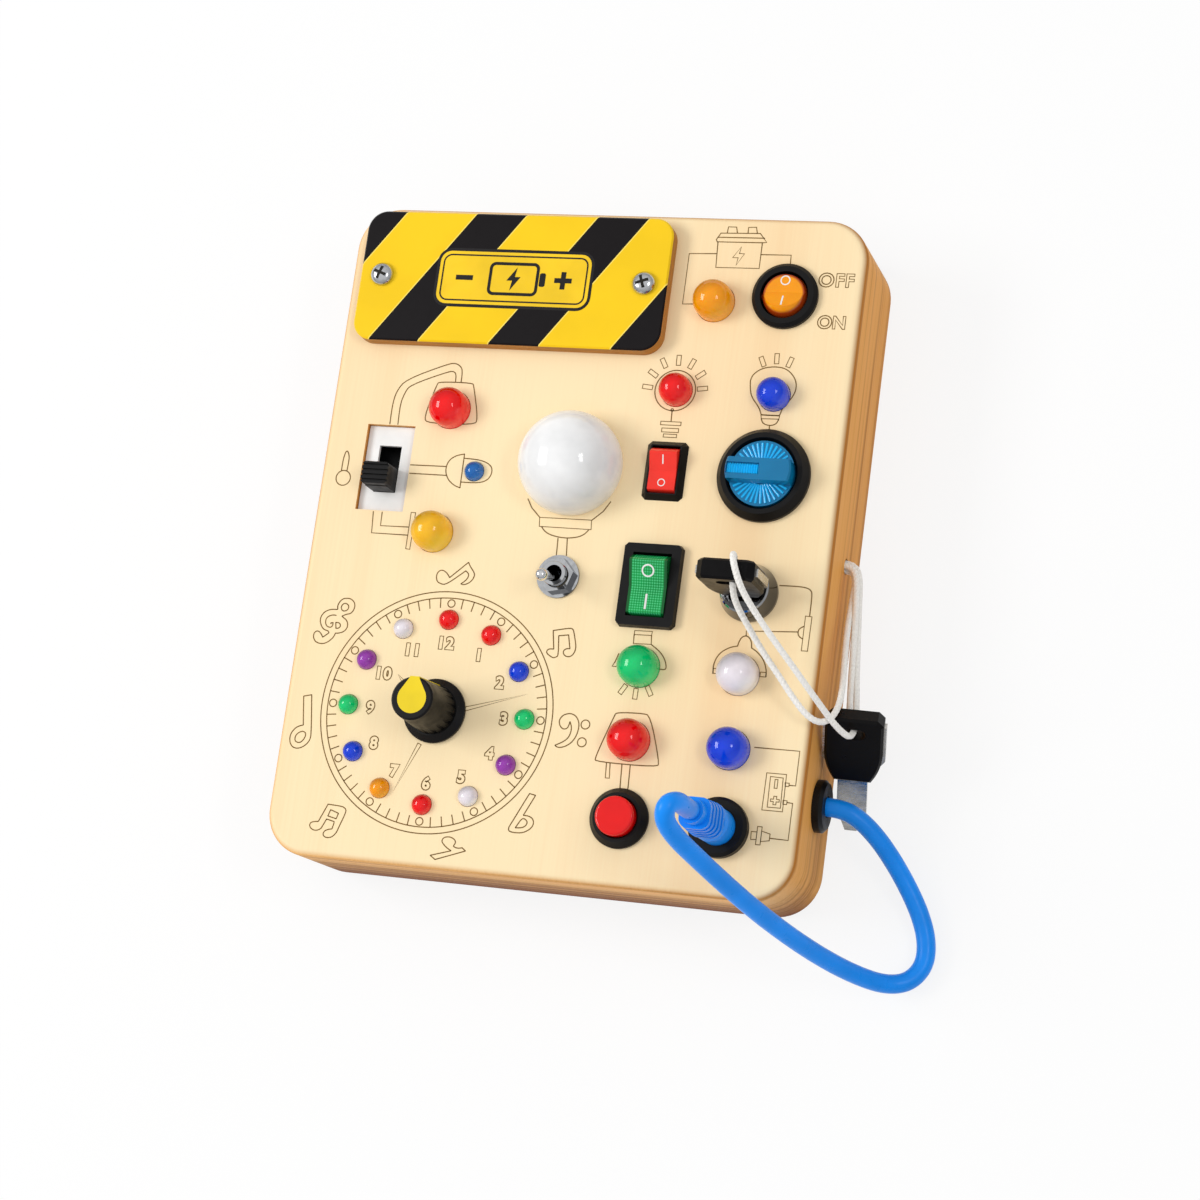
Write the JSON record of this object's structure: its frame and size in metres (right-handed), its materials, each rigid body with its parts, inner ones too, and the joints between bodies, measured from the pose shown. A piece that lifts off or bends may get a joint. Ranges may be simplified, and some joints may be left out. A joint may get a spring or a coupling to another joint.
{
  "type": "wooden busy board",
  "caption": "Small wooden activity board with rocker, slide, toggle, rotary and push switches, signal lamps, a clock dial knob, a key lock on a string and a plug on a lead.",
  "frame": {"origin": "centre of the flat back face that the board lies on, level with the table", "axes": "+X to the board's right as it is read, +Y up the board towards the battery cover, +Z out of the front face"},
  "size_m": [0.1651, 0.1868, 0.0754],
  "materials": {
    "pine": "sanded clear pine",
    "plywood": "sanded plywood",
    "hazard_plate": "printed sheet, satin",
    "zinc_steel": "zinc plated",
    "chrome": "polished",
    "toggle_case": "moulded",
    "black_plastic": "moulded, satin",
    "key_metal": "nickel plated",
    "shaft_metal": "turned",
    "slide_plate_metal": "white, satin",
    "cell_wrap": "plain wrap",
    "circuit_green": "lacquered board",
    "globe_white": "opal white",
    "lamp_red": "tinted clear",
    "lamp_amber": "tinted clear",
    "lamp_yellow": "tinted clear",
    "lamp_blue": "tinted clear",
    "lamp_green": "tinted clear",
    "lamp_purple": "tinted clear",
    "lamp_white": "milky clear",
    "button_amber": "tinted translucent",
    "button_red": "gloss",
    "button_green": "tinted translucent",
    "knob_blue": "tinted translucent",
    "knob_yellow": "moulded",
    "lead_blue": "soft moulded",
    "string_white": "braided cord"
  },
  "bodies": {
    "board": {"board_body": "pine", "back_panel": "plywood", "back_panel_screws": "zinc_steel", "cover_plate": "hazard_plate", "cover_plate_screws": "zinc_steel", "battery_box": "black_plastic", "battery_cells": "cell_wrap", "battery_contacts": "zinc_steel", "amber_power_lamp": "lamp_amber", "red_desk_lamp": "lamp_red", "yellow_wall_lamp": "lamp_yellow", "blue_torch_lamp": "lamp_blue", "red_bulb_lamp": "lamp_red", "blue_bulb_lamp": "lamp_blue", "green_shade_lamp": "lamp_green", "white_bell_lamp": "lamp_white", "red_shade_lamp": "lamp_red", "blue_circuit_lamp": "lamp_blue", "clock_lamps_red": "lamp_red", "clock_lamps_blue": "lamp_blue", "clock_lamps_green": "lamp_green", "clock_lamps_purple": "lamp_purple", "clock_lamps_white": "lamp_white", "clock_lamps_orange": "lamp_amber", "clock_circuit_board": "circuit_green", "globe_lens": "globe_white", "globe_lamp_board": "circuit_green", "round_rocker_housing": "black_plastic", "small_rocker_housing": "black_plastic", "large_rocker_housing": "black_plastic", "turn_switch_housing": "black_plastic", "slide_switch_case": "black_plastic", "slide_switch_plate": "slide_plate_metal", "toggle_switch_body": "toggle_case", "toggle_nut_and_washer": "chrome", "lock_body": "chrome", "spare_key_bow": "black_plastic", "spare_key_blade": "key_metal", "push_button_housing": "black_plastic", "mounting_nuts": "zinc_steel", "clock_rotary_switch": "black_plastic", "plug_socket": "black_plastic", "lead_gland": "black_plastic", "plug_lead": "lead_blue", "key_string": "string_white"},
    "round_button": {"round_rocker_button": "button_amber"},
    "small_button": {"small_rocker_button": "button_red"},
    "large_button": {"large_rocker_button": "button_green"},
    "turn_knob": {"turn_switch_knob": "knob_blue"},
    "slider": {"slide_switch_slider": "black_plastic"},
    "lever": {"toggle_lever": "chrome"},
    "lock_plug": {"lock_core": "chrome"},
    "key": {"switch_key_bow": "black_plastic", "switch_key_blade": "key_metal"},
    "push_cap": {"push_button_cap": "button_red"},
    "clock_knob": {"clock_knob_body": "black_plastic", "clock_knob_cap": "knob_yellow", "clock_rotary_shaft": "shaft_metal"},
    "plug": {"plug_boot": "lead_blue", "plug_pin": "key_metal"}
  },
  "joints": [
    {"name": "round_rocker_tilt", "type": "hinge", "parent": "board", "child": "round_button", "pos_m": [0.04816, 0.06404, 0.0316], "axis": [1, 0, 0], "range_deg": [0, 24]},
    {"name": "small_rocker_tilt", "type": "hinge", "parent": "board", "child": "small_button", "pos_m": [0.02343, 0.01824, 0.0318], "axis": [1, 0, 0], "range_deg": [-22, 0]},
    {"name": "large_rocker_tilt", "type": "hinge", "parent": "board", "child": "large_button", "pos_m": [0.02363, -0.01082, 0.0316], "axis": [1, 0, 0], "range_deg": [-22, 0]},
    {"name": "turn_switch_turn", "type": "hinge", "parent": "board", "child": "turn_knob", "pos_m": [0.04847, 0.01834, 0.032], "axis": [0, 0, 1], "range_deg": [-90, 0]},
    {"name": "slide_switch_slide", "type": "slide", "parent": "board", "child": "slider", "axis": [0, 1, 0], "range_m": [0, 0.0061]},
    {"name": "toggle_tilt", "type": "hinge", "parent": "board", "child": "lever", "pos_m": [-0.0002, -0.01002, 0.033], "axis": [1, 0, 0], "range_deg": [-24, 0]},
    {"name": "lock_turn", "type": "hinge", "parent": "board", "child": "lock_plug", "pos_m": [0.04847, -0.01082, 0.032], "axis": [0, 0, 1], "range_deg": [-90, 0], "deforming": ["key_string"]},
    {"name": "key_pull", "type": "slide", "parent": "lock_plug", "child": "key", "axis": [0, 0, 1], "range_m": [0, 0.02], "deforming": ["key_string"]},
    {"name": "push_button_press", "type": "slide", "parent": "board", "child": "push_cap", "axis": [0, 0, -1], "range_m": [0, 0.002], "stiffness_N_per_m": 300, "springref_m": -0.001},
    {"name": "clock_knob_turn", "type": "hinge", "parent": "board", "child": "clock_knob", "pos_m": [-0.027, -0.04598, 0.032], "axis": [0, 0, 1], "range_deg": [-330, 0]},
    {"name": "plug_pull", "type": "slide", "parent": "board", "child": "plug", "axis": [0, 0, 1], "range_m": [0, 0.022], "deforming": ["plug_lead"]}
  ]
}
